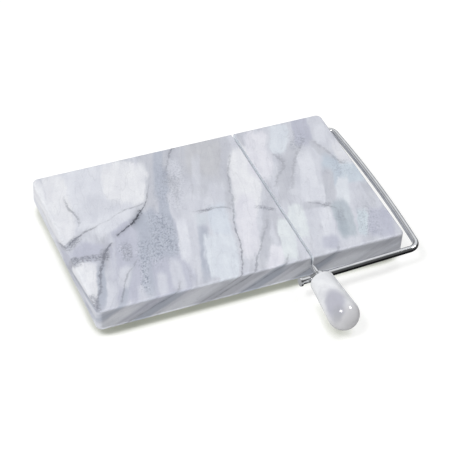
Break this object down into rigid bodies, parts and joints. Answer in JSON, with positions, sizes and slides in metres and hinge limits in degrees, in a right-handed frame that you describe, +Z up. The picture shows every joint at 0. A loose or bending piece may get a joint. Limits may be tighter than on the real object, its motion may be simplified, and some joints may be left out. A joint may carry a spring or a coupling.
{
  "type": "cheese wire cutter",
  "caption": "Marble cheese slicing board with a cutting slot, a hinged chromed rod bow, a taut steel wire and a turning handle that sets its tension.",
  "frame": {"origin": "middle of the whole slicer's outline, bow and handle included, on the plane that the feet stand on", "axes": "+X along the board towards the bow's side arm, +Y from the handle to the pivot, +Z up"},
  "size_m": [0.2127, 0.182, 0.0254],
  "materials": {
    "marble": "honed white marble with blue-grey clouds and veins",
    "handle_marble": "polished white marble with a grey patch",
    "chromed_steel": "bright chrome plate on steel rod",
    "wire_steel": "drawn stainless wire",
    "crimp_metal": "satin",
    "insert_brass": "turned brass",
    "foot_rubber": "soft translucent grey rubber",
    "adhesive": "adhesive foam"
  },
  "bodies": {
    "board": {"marble_board": "marble", "foot_front_left": "foot_rubber", "foot_front_right": "foot_rubber", "foot_rear_left": "foot_rubber", "foot_rear_right": "foot_rubber", "adhesive_front_left": "adhesive", "adhesive_front_right": "adhesive", "adhesive_rear_left": "adhesive", "adhesive_rear_right": "adhesive"},
    "bow": {"bow_rod": "chromed_steel"},
    "wire": {"cutting_wire": "wire_steel", "wire_anchor_barrel": "crimp_metal", "wire_end_ferrule": "crimp_metal", "tension_stud": "chromed_steel"},
    "handle": {"domed_washer": "chromed_steel", "handle_grip": "handle_marble", "handle_insert": "insert_brass"}
  },
  "joints": [
    {"name": "bow_swing", "type": "hinge", "parent": "board", "child": "bow", "pos_m": [0.09665, 0.0795, 0.0157], "axis": [-1, 0, 0], "range_deg": [0, 180]},
    {"name": "handle_turn", "type": "hinge", "parent": "bow", "child": "handle", "pos_m": [0.03255, -0.0517, 0.0157], "axis": [0, -1, 0], "range_deg": [0, 450]},
    {"name": "wire_draw", "type": "slide", "parent": "bow", "child": "wire", "axis": [0, 1, 0], "range_m": [0, 0.0009]}
  ],
  "couplings": [
    {"joint": "wire_draw", "follows": "handle_turn", "m_per_rad": 0.00011141}
  ]
}
